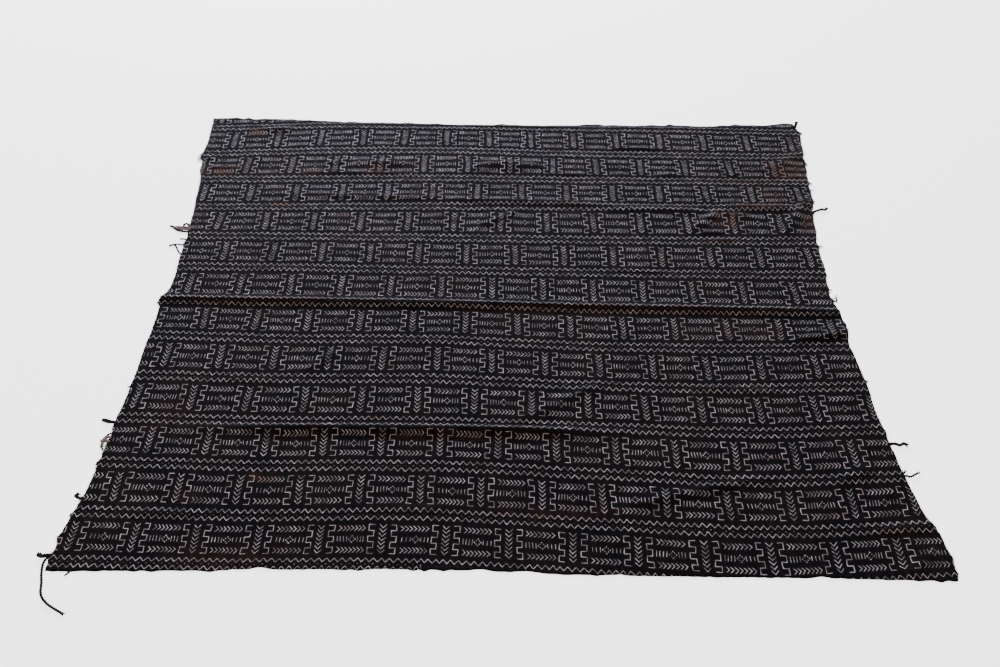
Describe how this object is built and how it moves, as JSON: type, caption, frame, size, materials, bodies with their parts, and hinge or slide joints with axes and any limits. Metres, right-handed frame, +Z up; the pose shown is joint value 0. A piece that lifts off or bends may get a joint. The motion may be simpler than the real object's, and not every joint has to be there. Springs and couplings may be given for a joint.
{
  "type": "bogolan mud cloth",
  "caption": "Bogolan mud cloth of narrow handwoven cotton strips sewn edge to edge, dyed black, lying on a floor with soft folds and loose yarn at the strip ends.",
  "frame": {"origin": "middle of the box around the cloth and its longest thread, on the floor", "axes": "X along the strips, Y from the near edge to the far one, Z up from the floor"},
  "size_m": [1.7088, 1.4216, 0.0129],
  "materials": {
    "dyed_cotton": "matte handwoven cotton, dyed near black with mud, with undyed off-white line drawing",
    "loose_yarn": "matte hand-spun cotton yarn, dyed dark, frayed"
  },
  "bodies": {
    "root": {"left_ends": "loose_yarn", "right_ends": "loose_yarn", "strip_00": "dyed_cotton", "strip_01": "dyed_cotton", "strip_02": "dyed_cotton", "strip_03": "dyed_cotton", "strip_04": "dyed_cotton", "strip_05": "dyed_cotton", "strip_06": "dyed_cotton", "strip_07": "dyed_cotton", "strip_08": "dyed_cotton", "strip_09": "dyed_cotton", "strip_10": "dyed_cotton", "strip_11": "dyed_cotton", "strip_12": "dyed_cotton"}
  },
  "joints": []
}
